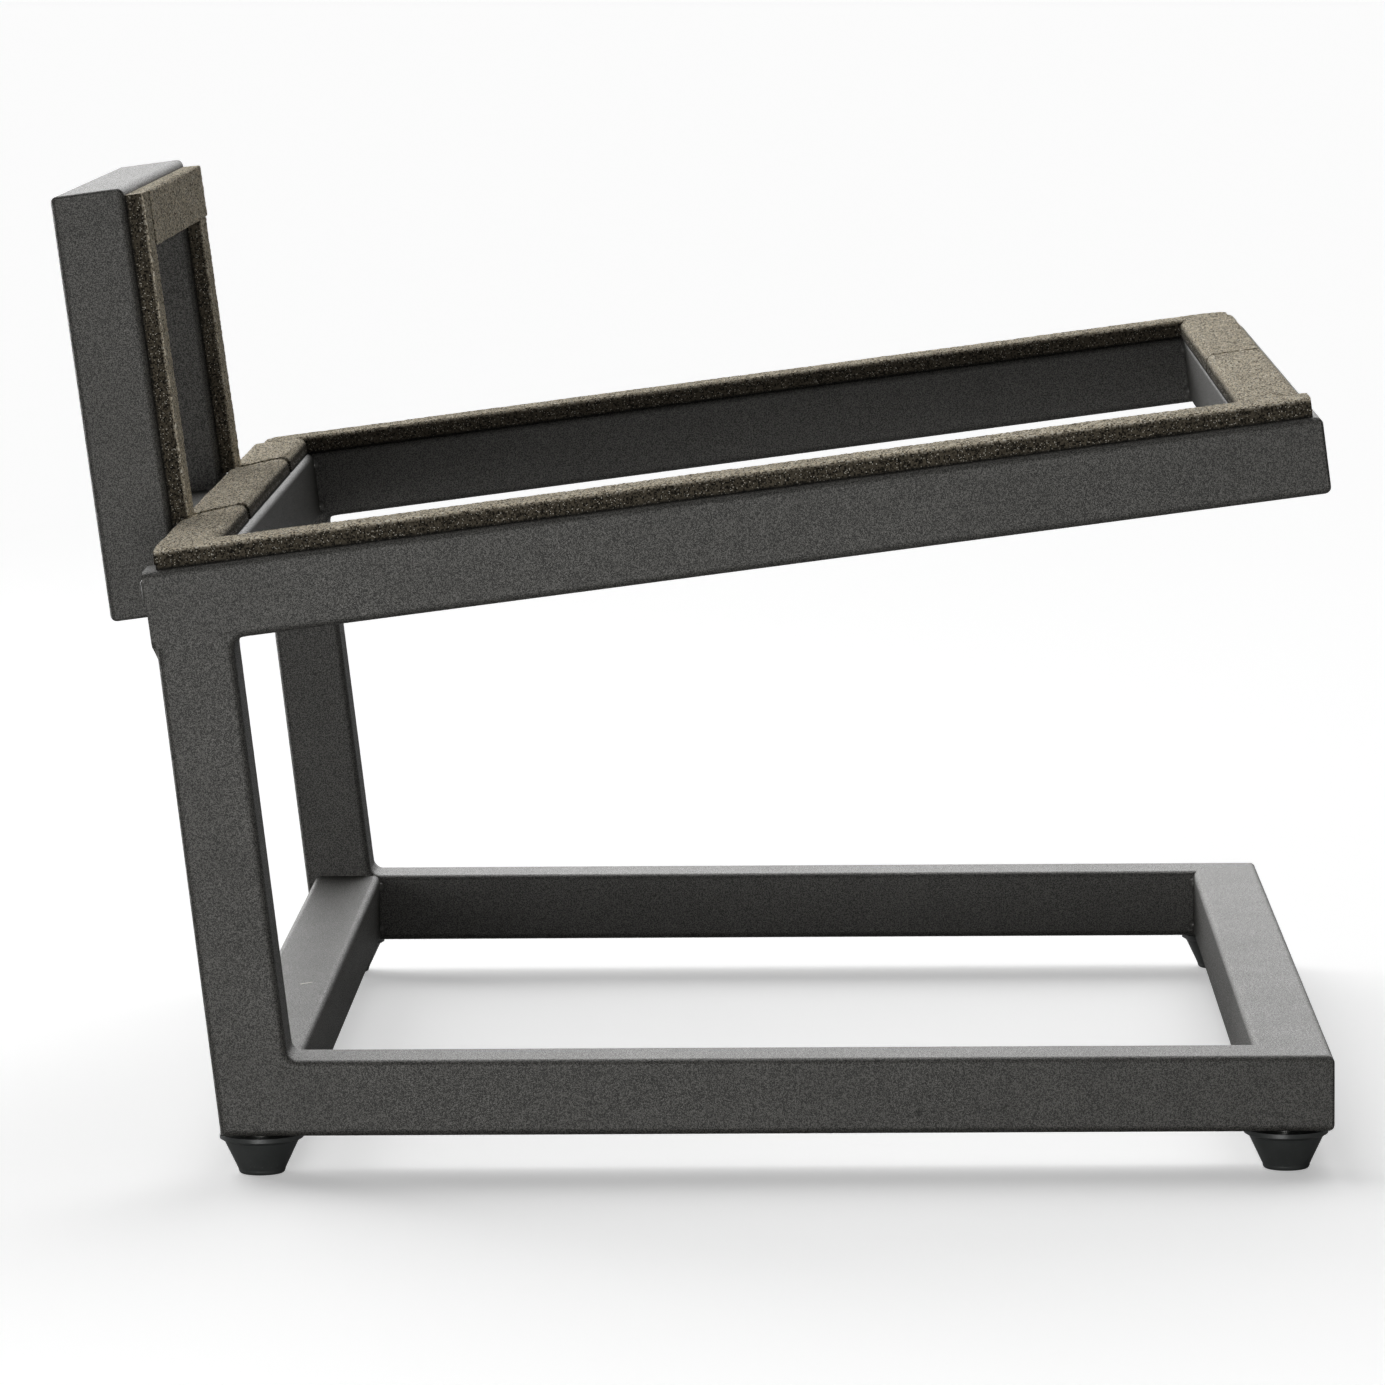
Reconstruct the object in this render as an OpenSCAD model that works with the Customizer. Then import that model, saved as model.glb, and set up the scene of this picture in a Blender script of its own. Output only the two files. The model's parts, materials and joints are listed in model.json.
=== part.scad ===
// Tilt-back floor stand for a bookshelf speaker.
// +X is the stand's front, +Y its left, +Z is up. The feet stand on z = 0.

/* [Tube] */
// Outer side of the square steel tube
tube = 20; // [16:1:26]
// Wall thickness of the tube
tube_wall = 1.5; // [1:0.25:2.5]
// Outer radius along the edges of the tube
edge_r = 2; // [1.5:0.25:3]
// Radius that the mitred outer corners are ground to
ground_r = 1; // [0.5:0.25:1.5]

/* [Base] */
// Length of the base from rear to front
base_len = 290; // [230:5:360]
// Width of the stand over both side frames
frame_w = 360; // [280:5:450]
// Distance of the base's rear rail from the rear corner
base_rail_inset = 0.5; // [0:0.25:1.5]

/* [Uprights] */
// Length of an upright along its rear face, up to the platform
upright_len = 129; // [100:1:200]
// Lean of the uprights to the rear, in degrees
upright_lean = 6.5; // [0:0.5:12]

/* [Platform] */
// Length of the platform's side rails
platform_len = 306; // [240:1:360]
// Rise of the platform to the front, in degrees
platform_tilt = 7.2; // [0:0.2:12]
// Thickness of the plates that close the rear ends of the side rails
end_plate_t = 1; // [0.5:0.25:2]

/* [Backrest] */
// Width of the backrest frame
backrest_w = 180; // [140:5:220]
// Height of the backrest frame, from the platform's underside
backrest_h = 116; // [90:1:160]

/* [Foam tape] */
// Thickness of the foam tape
foam_t = 5; // [3:0.5:8]
// Radius of the foam's soft upper edges
foam_r = 0.8; // [0.4:0.1:1.2]
// Gap at a butt joint between two lengths of foam
foam_gap = 0.4; // [0.3:0.1:0.8]
// Width of the foam on the platform
seat_foam_w = 17; // [13:0.5:17.5]
// Distance of the side foam from the stand's outer face
side_foam_inset = 2.4; // [2:0.1:3]
// Distance of the front foam from the platform's front face
front_foam_inset = 3.2; // [2:0.1:4]
// Distance of the rear foam from the rear end of the side rails
rear_foam_inset = 0.5; // [0:0.1:2]
// Distance of the side foam's rear end from the end of its rail
side_foam_rear = 2.7; // [2:0.1:4]
// Distance of the side foam's front end from the front corner
side_foam_front = 2.3; // [2:0.1:4]
// How far the joint in the front foam lies left of the middle
front_seam_left = 10; // [-40:1:40]
// Distance from one joint in the rear foam to the other
rear_seams_apart = 150; // [100:1:200]
// How far the middle of these two joints lies left of the stand's middle
rear_seams_left = 7; // [-20:1:20]
// How far such a joint runs to the left on its way from rear to front
rear_seam_slant = 20; // [0:1:30]
// Width of the foam on the backrest
back_foam_w = 15.5; // [12:0.5:16]
// Distance of the backrest foam from the frame's outer edges
back_foam_inset = 2.2; // [2:0.1:3]

/* [Feet] */
// Diameter of a foot's flange
foot_d = 22; // [18:0.5:26]
// Diameter of a foot's flat underside
foot_sole_d = 10.8; // [10.2:0.2:12]
// Height of a rubber foot
foot_h = 10.5; // [9:0.5:16]
// Thickness of the flange at its rim
foot_rim_h = 1.1; // [0.8:0.1:1.6]
// Distance of the rear feet from the rear corner
rear_foot_in = 10; // [8:0.5:14]
// Distance of the front feet from the front face
front_foot_in = 12; // [9:0.5:14]

/* [Welds] */
// Radius of the weld fillets in the side frames
fillet_r = 3; // [2:0.5:6]
// Radius of a weld tack in an inner corner
tack_r = 1.6; // [1:0.1:2]
// Height of the weld bead under an end plate
end_bead_h = 3; // [1.5:0.5:5]
// Length of the weld bead left on the rear of an end plate
rear_bead_len = 5.5; // [3:0.5:8]
// Radius of that bead
rear_bead_r = 1; // [0.5:0.1:1.4]
// Length of a weld stitch that holds the backrest
stitch_len = 28; // [15:1:40]
// Distance from the middle to a weld stitch
stitch_y = 42; // [25:1:50]

/* [Hidden] */
$fn = 64;

// Finishes
steel_colour = [0.20, 0.20, 0.19];
weld_colour = [0.24, 0.24, 0.23];
foam_colour = [0.42, 0.37, 0.31];
rubber_colour = [0.08, 0.08, 0.08];
zinc_colour = [0.72, 0.72, 0.70];

// Overrun of every cut past the surface that it opens
overrun = 1;
// Depth of a ground corner's centre, a little short so that the corner keeps a faint edge
ground_depth_share = 0.95;
ground_depth = ground_depth_share * ground_r;
// Size of the blocks that cut the mitres
reach = base_len + frame_w;

// Foot screw M4 with its washer and the threaded insert in the tube
screw_d = 4;
screw_len = 12;
screw_head_d = 7.4;
screw_head_h = 2.6;
drive_w = 2.4;
drive_depth = 1.4;
washer_d = 9;
washer_t = 1;
washer_bore = 4.4;
insert_flange_d = 9;
insert_flange_t = 0.5;
insert_d = 6;
insert_bulge_d = 8;
insert_bulge_h = 2;
insert_len = 9;
thread_gap = 0.05;
hardware_gap = 0.05;
// Recess in the sole for the screw head, and the foot's profile
recess_d = 8;
recess_depth = 5;
cone_top_d = 19.4;
cone_bottom_d = 12.4;
rim_bevel_h = 0.8;
sole_edge_h = 1.2;

// Underside of the base above the floor
base_z = foot_h + insert_flange_t;

// Rear corner where an upright meets the platform's underside
corner_x = -upright_len * sin(upright_lean);
corner_z = upright_len * cos(upright_lean);
// Angle between base and upright, and between upright and platform
lower_angle = 90 + upright_lean;
lower_mitre = lower_angle / 2;
upper_angle = 90 + platform_tilt - upright_lean;
square_angle = 90;

// The rear rail is flush with the end plates, and the backrest stands against it
back_face = -end_plate_t;
back_top = backrest_h - tube;
// Half of the width left for the foam across the platform
seat_across_y = frame_w / 2 - side_foam_inset - seat_foam_w - foam_gap;
// Joints in the rear foam: their places at the middle of the tape, and their gap across the stand
right_seam_y = rear_seams_left - rear_seams_apart / 2;
left_seam_y = rear_seams_left + rear_seams_apart / 2;
seam_gap_y = foam_gap / cos(atan(rear_seam_slant / seat_foam_w));

// The origin lies under the middle of the stand, from backrest to front
rear_tip_x = corner_x + (back_face - tube + edge_r) * cos(platform_tilt)
    - (backrest_h - edge_r) * sin(platform_tilt) - edge_r;
platform_tip_x = corner_x + (platform_len - edge_r) * cos(platform_tilt)
    - edge_r * sin(platform_tilt) + edge_r;
front_tip_x = max(base_len, platform_tip_x);
origin_x = (rear_tip_x + front_tip_x) / 2;

// Region in an angle that opens along +X, outside a circle touching both sides
module corner_web(angle, r, grow) {
    half = angle / 2;
    touch = r / tan(half);
    along = [cos(half), sin(half)];
    out = [-sin(half), cos(half)];
    upper = touch * along;
    upper_out = upper + grow * out;
    difference() {
        polygon([
            [r / sin(half), 0], upper, upper_out, [-grow / sin(half), 0],
            [upper_out.x, -upper_out.y], [upper.x, -upper.y]
        ]);
        translate([r / sin(half), 0]) circle(r);
    }
}

// Square with the tube's rounded edges
module tube_outline() {
    square([tube - 2 * edge_r, tube], center = true);
    square([tube, tube - 2 * edge_r], center = true);
    for (x = [-1, 1], y = [-1, 1])
        translate([x * (tube / 2 - edge_r), y * (tube / 2 - edge_r)]) circle(edge_r);
}

module tube_section() {
    difference() {
        tube_outline();
        square(tube - 2 * tube_wall, center = true);
    }
}

// Tube along +X, its axis on the X axis
module bar(length) {
    rotate([90, 0, 90]) linear_extrude(length) tube_section();
}

// The same before its mitres are cut: longer at both ends
module rough_bar(length) {
    translate([-tube, 0, 0]) bar(length + 2 * tube);
}

// Blocks that cut away the left of a line, which leaves a point at an angle
module cut_side_view(x, z, angle) {
    translate([x, 0, z]) rotate([0, -angle, 0])
        translate([-reach, -reach, 0]) cube([2 * reach, 2 * reach, reach]);
}

module cut_top_view(x, y, angle) {
    translate([x, y, 0]) rotate([0, 0, angle])
        translate([-reach, 0, -reach]) cube([2 * reach, reach, 2 * reach]);
}

module cut_rear_view(y, z, angle) {
    translate([0, y, z]) rotate([angle, 0, 0])
        translate([-reach, -reach, 0]) cube([2 * reach, 2 * reach, reach]);
}

// What the grinder takes off a welded corner that opens along +X
module ground_section(angle) {
    half = angle / 2;
    middle = ground_depth / sin(half);
    outer = ground_r + overrun;
    difference() {
        polygon([
            [middle, 0], [middle - outer * sin(half), outer * cos(half)],
            [middle - outer / sin(half), 0], [middle - outer * sin(half), -outer * cos(half)]
        ]);
        translate([middle, 0]) circle(ground_r);
    }
}

module ground_y(x, z, mitre, angle) {
    translate([x, reach / 2, z]) rotate([90, 0, 0])
        linear_extrude(reach) rotate(mitre) ground_section(angle);
}

module ground_z(x, y, mitre) {
    translate([x, y, -reach / 2]) linear_extrude(reach) rotate(mitre) ground_section(square_angle);
}

module ground_x(y, z, mitre) {
    translate([-reach / 2, y, z]) rotate([90, 0, 90])
        linear_extrude(reach) rotate(mitre) ground_section(square_angle);
}

module left_if(is_left) {
    if (is_left) mirror([0, 1, 0]) children();
    else children();
}

// Places: the base and uprights stand on the feet, the platform tilts on top
module on_base() {
    translate([-origin_x, 0, base_z]) children();
}

module on_platform() {
    on_base() translate([corner_x, 0, corner_z]) rotate([0, -platform_tilt, 0])
        translate([0, 0, tube]) children();
}

module at_feet() {
    for (x = [rear_foot_in, base_len - front_foot_in], side = [-1, 1])
        translate([x, side * (frame_w - tube) / 2, 0]) children();
}

module foot_holes() {
    at_feet() translate([0, 0, -overrun])
        cylinder(d = insert_d + 2 * hardware_gap, h = tube_wall + 2 * overrun);
}

// Base: two mitred side rails, a mitred front rail, a rear rail between them
module base_side_rail(is_left) {
    color(steel_colour) on_base() difference() {
        left_if(is_left) difference() {
            translate([0, (tube - frame_w) / 2, tube / 2]) rough_bar(base_len);
            cut_side_view(0, 0, lower_mitre);
            cut_top_view(base_len, -frame_w / 2, -45);
            ground_y(0, 0, lower_mitre, lower_angle);
            ground_z(base_len, -frame_w / 2, 135);
        }
        foot_holes();
    }
}

module base_front_rail() {
    color(steel_colour) on_base() difference() {
        translate([base_len - tube / 2, -frame_w / 2, tube / 2]) rotate([0, 0, 90]) rough_bar(frame_w);
        for (is_left = [false, true]) left_if(is_left) {
            cut_top_view(base_len, -frame_w / 2, 135);
            ground_z(base_len, -frame_w / 2, 135);
        }
        foot_holes();
    }
}

module base_rear_rail() {
    color(steel_colour) on_base()
        translate([base_rail_inset + tube / 2, tube - frame_w / 2, tube / 2])
            rotate([0, 0, 90]) bar(frame_w - 2 * tube);
}

// Upright: mitred into the base, and cut off square to carry the platform
module upright(is_left) {
    color(steel_colour) on_base() left_if(is_left) difference() {
        translate([0, (tube - frame_w) / 2, 0]) rotate([0, -lower_angle, 0])
            translate([0, 0, -tube / 2]) rough_bar(upright_len);
        cut_side_view(0, 0, lower_mitre + 180);
        cut_side_view(corner_x, corner_z, platform_tilt);
        ground_y(0, 0, lower_mitre, lower_angle);
    }
}

// Platform, in its own tilted plane: x runs forward, z = 0 is its top
module platform_side_rail(is_left) {
    color(steel_colour) on_platform() left_if(is_left) difference() {
        translate([0, (tube - frame_w) / 2, -tube / 2]) bar(platform_len + tube);
        cut_top_view(platform_len, -frame_w / 2, -45);
        ground_z(platform_len, -frame_w / 2, 135);
    }
}

module platform_end_plate(is_left) {
    color(steel_colour) on_platform() left_if(is_left)
        translate([-end_plate_t, (tube - frame_w) / 2, -tube / 2]) rotate([90, 0, 90])
            linear_extrude(end_plate_t) tube_outline();
}

module platform_front_rail() {
    color(steel_colour) on_platform() difference() {
        translate([platform_len - tube / 2, -frame_w / 2, -tube / 2])
            rotate([0, 0, 90]) rough_bar(frame_w);
        for (is_left = [false, true]) left_if(is_left) {
            cut_top_view(platform_len, -frame_w / 2, 135);
            ground_z(platform_len, -frame_w / 2, 135);
        }
    }
}

module platform_rear_rail() {
    color(steel_colour) on_platform()
        translate([back_face + tube / 2, tube - frame_w / 2, -tube / 2])
            rotate([0, 0, 90]) bar(frame_w - 2 * tube);
}

// Backrest: a closed mitred frame, welded to the platform's rear rail
module backrest_post(is_left) {
    color(steel_colour) on_platform() left_if(is_left) difference() {
        translate([back_face - tube / 2, (tube - backrest_w) / 2, -tube])
            rotate([0, -90, 0]) rough_bar(backrest_h);
        cut_rear_view(-backrest_w / 2, -tube, 225);
        cut_rear_view(-backrest_w / 2, back_top, -45);
        ground_x(-backrest_w / 2, -tube, 45);
        ground_x(-backrest_w / 2, back_top, -45);
    }
}

module backrest_rail(edge_z, mitre) {
    inward = sign(mitre);
    color(steel_colour) on_platform() difference() {
        translate([back_face - tube / 2, -backrest_w / 2, edge_z + inward * tube / 2])
            rotate([0, 0, 90]) rough_bar(backrest_w);
        for (is_left = [false, true]) left_if(is_left) {
            cut_rear_view(-backrest_w / 2, edge_z, inward > 0 ? mitre : mitre + 180);
            ground_x(-backrest_w / 2, edge_z, mitre);
        }
    }
}

// Welds: fillets inside the side frames, over the flat of the tube
module side_fillet(angle) {
    translate([0, tube - edge_r - frame_w / 2, 0]) rotate([90, 0, 0])
        linear_extrude(tube - 2 * edge_r) corner_web(angle, fillet_r, 0);
}

// Weld metal ground flush in the grooves between an upright's end and the rail's rounded edges
module flush_welds() {
    for (side = [0, 1])
        translate([0, side * tube - frame_w / 2, -tube]) rotate([90, 0, 90])
            linear_extrude(tube / sin(upper_angle)) mirror([side, 0]) rotate(45)
                corner_web(square_angle, edge_r, 0);
}

// Bead in the angle between an end plate's lower edge and the upright
module end_bead() {
    bend = platform_tilt - upright_lean;
    translate([0, tube - edge_r - frame_w / 2, -tube]) rotate([90, 0, 0])
        linear_extrude(tube - 2 * edge_r)
            polygon([[0, 0], [-end_plate_t, 0], [-end_bead_h * sin(bend), -end_bead_h * cos(bend)]]);
}

module upright_welds(is_left) {
    color(weld_colour) left_if(is_left) {
        on_base() rotate([0, -lower_mitre, 0])
            translate([tube / sin(lower_mitre), 0, 0]) side_fillet(lower_angle);
        on_platform() {
            translate([tube / sin(upper_angle), 0, -tube]) rotate([0, upper_angle / 2, 0])
                side_fillet(upper_angle);
            flush_welds();
            end_bead();
        }
    }
}

// Bead that was left standing on an end plate, near its outer upper corner
module rear_end_beads() {
    color(weld_colour) on_platform() for (is_left = [false, true]) left_if(is_left)
        translate([-end_plate_t, 2 * edge_r - frame_w / 2, -edge_r - rear_bead_len / 2])
            difference() {
                union() {
                    cylinder(r = rear_bead_r, h = rear_bead_len - 2 * rear_bead_r, center = true);
                    for (side = [-1, 1]) translate([0, 0, side * (rear_bead_len / 2 - rear_bead_r)])
                        sphere(rear_bead_r);
                }
                translate([0, -rear_bead_len, -rear_bead_len])
                    cube([rear_bead_len, 2 * rear_bead_len, 2 * rear_bead_len]);
            }
}

// Tacks: a quarter of a ball at each end of an inner seam, in the angle of +X and +Y
module tack_pair() {
    for (z = [edge_r + tack_r, tube - edge_r - tack_r])
        translate([0, 0, z]) intersection() {
            sphere(tack_r);
            translate([0, 0, -2 * tack_r]) cube([2 * tack_r, 2 * tack_r, 4 * tack_r]);
        }
}

module frame_tacks(rear_x, front_x) {
    for (is_left = [false, true]) left_if(is_left) {
        translate([rear_x, tube - frame_w / 2, 0]) tack_pair();
        translate([front_x, tube - frame_w / 2, 0]) rotate([0, 0, 90]) tack_pair();
    }
}

module base_corner_tacks() {
    color(weld_colour) on_base() frame_tacks(base_rail_inset + tube, base_len - tube);
}

module platform_corner_tacks() {
    color(weld_colour) on_platform() translate([0, 0, -tube])
        frame_tacks(back_face + tube, platform_len - tube);
}

module backrest_corner_tacks() {
    color(weld_colour) on_platform() translate([back_face - tube, 0, 0]) rotate([0, 90, 0])
        for (is_left = [false, true]) left_if(is_left) {
            translate([0, tube - backrest_w / 2, 0]) rotate([0, 0, 90]) tack_pair();
            translate([tube - back_top, tube - backrest_w / 2, 0]) tack_pair();
        }
}

// Stitches: they fill the grooves between the rear rail and the backrest
module stitch() {
    rotate([90, 0, 0]) linear_extrude(stitch_len, center = true) difference() {
        translate([-edge_r, 0]) square([2 * edge_r, edge_r]);
        for (x = [-edge_r, edge_r]) translate([x, edge_r]) circle(edge_r);
    }
}

module backrest_stitches() {
    color(weld_colour) on_platform() for (y = [-stitch_y, stitch_y]) translate([back_face, y, 0]) {
        translate([0, 0, -tube]) stitch();
        mirror([0, 0, 1]) stitch();
    }
}

// Foam tape: a strip along +X with two soft upper edges, its lower edge on the Y axis
module foam_strip(length, width) {
    rotate([90, 0, 90]) linear_extrude(length) difference() {
        square([width, foam_t]);
        translate([0, foam_t]) rotate(-45) corner_web(square_angle, foam_r, overrun);
        translate([width, foam_t]) rotate(225) corner_web(square_angle, foam_r, overrun);
    }
}

module seat_foam_side(is_left) {
    color(foam_colour) on_platform() left_if(is_left)
        translate([side_foam_rear, side_foam_inset - frame_w / 2, 0])
            foam_strip(platform_len - side_foam_rear - side_foam_front, seat_foam_w);
}

// Strip across the platform from y_right to y_left, its front edge at x
module seat_foam_across(x, y_right, y_left) {
    color(foam_colour) on_platform() translate([x, y_right, 0]) rotate([0, 0, 90])
        foam_strip(y_left - y_right, seat_foam_w);
}

module seat_foam_front(is_left) {
    y_right = is_left ? front_seam_left + foam_gap / 2 : -seat_across_y;
    y_left = is_left ? seat_across_y : front_seam_left - foam_gap / 2;
    seat_foam_across(platform_len - front_foam_inset, y_right, y_left);
}

// Length of rear foam. Its ends cross the middle of the tape at y_right and y_left
module seat_foam_rear(y_right, y_left, right_slant, left_slant) {
    spare = rear_seam_slant + foam_t;
    color(foam_colour) on_platform() intersection() {
        translate([rear_foam_inset + seat_foam_w, y_right - spare, 0]) rotate([0, 0, 90])
            foam_strip(y_left - y_right + 2 * spare, seat_foam_w);
        translate([rear_foam_inset, 0, -foam_t]) linear_extrude(3 * foam_t) polygon([
            [-seat_foam_w, y_right - 1.5 * right_slant],
            [2 * seat_foam_w, y_right + 1.5 * right_slant],
            [2 * seat_foam_w, y_left + 1.5 * left_slant],
            [-seat_foam_w, y_left - 1.5 * left_slant]
        ]);
    }
}

module seat_foam_rear_right() {
    seat_foam_rear(-seat_across_y, right_seam_y - seam_gap_y / 2, 0, rear_seam_slant);
}

module seat_foam_rear_middle() {
    seat_foam_rear(
        right_seam_y + seam_gap_y / 2, left_seam_y - seam_gap_y / 2, rear_seam_slant, rear_seam_slant
    );
}

module seat_foam_rear_left() {
    seat_foam_rear(left_seam_y + seam_gap_y / 2, seat_across_y, rear_seam_slant, 0);
}

module back_foam_post(is_left, top_z) {
    color(foam_colour) on_platform() left_if(is_left)
        translate([back_face, back_foam_inset - backrest_w / 2, top_z])
            rotate([0, 90, 0]) foam_strip(top_z - foam_t - foam_gap, back_foam_w);
}

module back_foam_top() {
    y_right = back_foam_inset + back_foam_w + foam_gap - backrest_w / 2;
    y_left = backrest_w / 2 - back_foam_inset;
    color(foam_colour) on_platform()
        translate([back_face, y_right, back_top - back_foam_inset - back_foam_w])
            rotate([90, 0, 90]) foam_strip(y_left - y_right, back_foam_w);
}

// Rubber foot: rim, bevel, cone and sole, with a washer moulded in over the recess
module foot_outline() {
    sole_r = foot_sole_d / 2;
    polygon([
        [recess_d / 2, 0], [sole_r, 0],
        for (a = [15 : 15 : 75])
            [sole_r + (cone_bottom_d / 2 - sole_r) * sin(a), sole_edge_h * (1 - cos(a))],
        [cone_bottom_d / 2, sole_edge_h],
        [cone_top_d / 2, foot_h - foot_rim_h - rim_bevel_h],
        [foot_d / 2, foot_h - foot_rim_h],
        [foot_d / 2, foot_h],
        [washer_bore / 2, foot_h],
        [washer_bore / 2, recess_depth + washer_t],
        [washer_d / 2 + hardware_gap, recess_depth + washer_t],
        [washer_d / 2 + hardware_gap, recess_depth],
        [recess_d / 2, recess_depth]
    ]);
}

module foot(is_front, is_left) {
    color(rubber_colour) on_base() left_if(is_left)
        translate([is_front ? base_len - front_foot_in : rear_foot_in, (tube - frame_w) / 2, -base_z])
            rotate_extrude() foot_outline();
}

module foot_washers() {
    color(zinc_colour) on_base() at_feet() translate([0, 0, recess_depth - base_z]) difference() {
        cylinder(d = washer_d, h = washer_t);
        translate([0, 0, -overrun]) cylinder(d = washer_bore, h = washer_t + 2 * overrun);
    }
}

module foot_screws() {
    color(zinc_colour) on_base() at_feet() translate([0, 0, recess_depth - base_z]) difference() {
        union() {
            translate([0, 0, -screw_head_h]) cylinder(d = screw_head_d, h = screw_head_h);
            cylinder(d = screw_d - 2 * thread_gap, h = screw_len);
        }
        translate([0, 0, -screw_head_h - overrun]) cylinder(d = drive_w, h = drive_depth + overrun, $fn = 6);
    }
}

module foot_inserts() {
    color(zinc_colour) on_base() at_feet() difference() {
        union() {
            translate([0, 0, -insert_flange_t]) cylinder(d = insert_flange_d, h = insert_flange_t);
            cylinder(d = insert_d, h = insert_len);
            translate([0, 0, tube_wall]) cylinder(d = insert_bulge_d, h = insert_bulge_h);
        }
        translate([0, 0, -insert_flange_t - overrun])
            cylinder(d = screw_d, h = insert_flange_t + insert_len + 2 * overrun);
    }
}

base_side_rail(true);  // base_rail_left
base_side_rail(false);  // base_rail_right
base_front_rail();
base_rear_rail();
upright(true);  // upright_left
upright(false);  // upright_right
platform_side_rail(true);  // platform_rail_left
platform_side_rail(false);  // platform_rail_right
platform_front_rail();
platform_rear_rail();
platform_end_plate(true);  // platform_end_plate_left
platform_end_plate(false);  // platform_end_plate_right
backrest_post(true);  // backrest_post_left
backrest_post(false);  // backrest_post_right
backrest_rail(back_top, -45);  // backrest_top_rail
backrest_rail(-tube, 45);  // backrest_bottom_rail
upright_welds(true);  // upright_welds_left
upright_welds(false);  // upright_welds_right
rear_end_beads();
base_corner_tacks();
platform_corner_tacks();
backrest_corner_tacks();
backrest_stitches();
seat_foam_side(true);  // seat_foam_left
seat_foam_side(false);  // seat_foam_right
seat_foam_front(true);  // seat_foam_front_left
seat_foam_front(false);  // seat_foam_front_right
seat_foam_rear_left();
seat_foam_rear_middle();
seat_foam_rear_right();
back_foam_post(true, back_top - back_foam_inset - back_foam_w - foam_gap);  // back_foam_left
back_foam_post(false, back_top - back_foam_inset);  // back_foam_right
back_foam_top();
foot(true, true);  // foot_front_left
foot(true, false);  // foot_front_right
foot(false, true);  // foot_rear_left
foot(false, false);  // foot_rear_right
foot_inserts();
foot_washers();
foot_screws();
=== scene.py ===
# %% [markdown]
# # A welded speaker stand
# The stand carries one bookshelf speaker on an open platform that rises to the front. Two
# C-shaped side frames of square steel tube do the work, cross rails join them, and foam tape
# keeps the speaker from slipping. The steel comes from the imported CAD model. Blender adds the
# finishes, the soft foam, the rounded weld metal, the light and the camera.

# %% Load the frame
import json
import math
from collections import namedtuple

import bmesh
import bpy
from mathutils import Matrix, Vector, noise


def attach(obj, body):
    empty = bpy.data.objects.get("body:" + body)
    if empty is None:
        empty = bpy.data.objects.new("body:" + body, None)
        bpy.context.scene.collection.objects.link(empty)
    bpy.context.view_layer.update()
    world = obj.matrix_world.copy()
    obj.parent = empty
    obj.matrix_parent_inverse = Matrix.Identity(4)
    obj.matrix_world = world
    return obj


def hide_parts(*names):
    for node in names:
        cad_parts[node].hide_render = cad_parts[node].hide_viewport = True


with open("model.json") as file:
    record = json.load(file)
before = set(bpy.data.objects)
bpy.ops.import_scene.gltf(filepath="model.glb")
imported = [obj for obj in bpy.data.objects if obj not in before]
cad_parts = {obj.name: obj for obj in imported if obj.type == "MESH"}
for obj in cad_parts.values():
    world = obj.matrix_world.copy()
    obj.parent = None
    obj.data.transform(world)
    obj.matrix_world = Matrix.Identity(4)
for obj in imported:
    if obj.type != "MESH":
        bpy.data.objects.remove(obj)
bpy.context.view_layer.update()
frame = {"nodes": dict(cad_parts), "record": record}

nodes = frame["nodes"]
collection = bpy.context.scene.collection
mm = 0.001

# %% [markdown]
# ## The camera
# The photograph was taken from far away with a long lens, so parallel rails stay almost
# parallel. A camera can be placed by eye, or fitted: known edges of the object are matched
# with their lines in the picture. The numbers below come from such a fit.

# %% Place the camera
lens_in_pixels = 7200.0
picture_width = 1385.0
sensor_width = 36.0
farthest_seen = 200.0
camera_place = Vector((0.04237, -2.0273, 0.3438))
camera_yaw, camera_pitch, camera_roll = 0.0208, 0.1168, -0.0084


def camera_axes(yaw, pitch, roll):
    """Right, up and backward directions of a camera that looks along +Y at rest."""
    right = Vector((math.cos(yaw), math.sin(yaw), 0))
    flat = math.cos(pitch)
    ahead = Vector((-math.sin(yaw) * flat, math.cos(yaw) * flat, -math.sin(pitch)))
    up = right.cross(ahead)
    turned_right = math.cos(roll) * right + math.sin(roll) * up
    turned_up = math.cos(roll) * up - math.sin(roll) * right
    return turned_right, turned_up, -ahead


camera = bpy.data.objects.new("camera", bpy.data.cameras.new("camera"))
collection.objects.link(camera)
camera.data.sensor_width = sensor_width
camera.data.lens = lens_in_pixels / picture_width * sensor_width
camera.data.clip_end = farthest_seen
axes = Matrix(camera_axes(camera_yaw, camera_pitch, camera_roll)).transposed().to_4x4()
camera.matrix_world = Matrix.Translation(camera_place) @ axes
bpy.context.scene.camera = camera
print("Lens:", round(camera.data.lens, 1), "mm")

# %% [markdown]
# ## Sums on sockets
# Blender's shaders and geometry trees are webs of small nodes. Written out, a sum such as
# `1 - mask` takes a node and two links. A small class that wraps an output socket lets Python's
# own operators add those nodes, so a finish or a shape reads like arithmetic.


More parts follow.
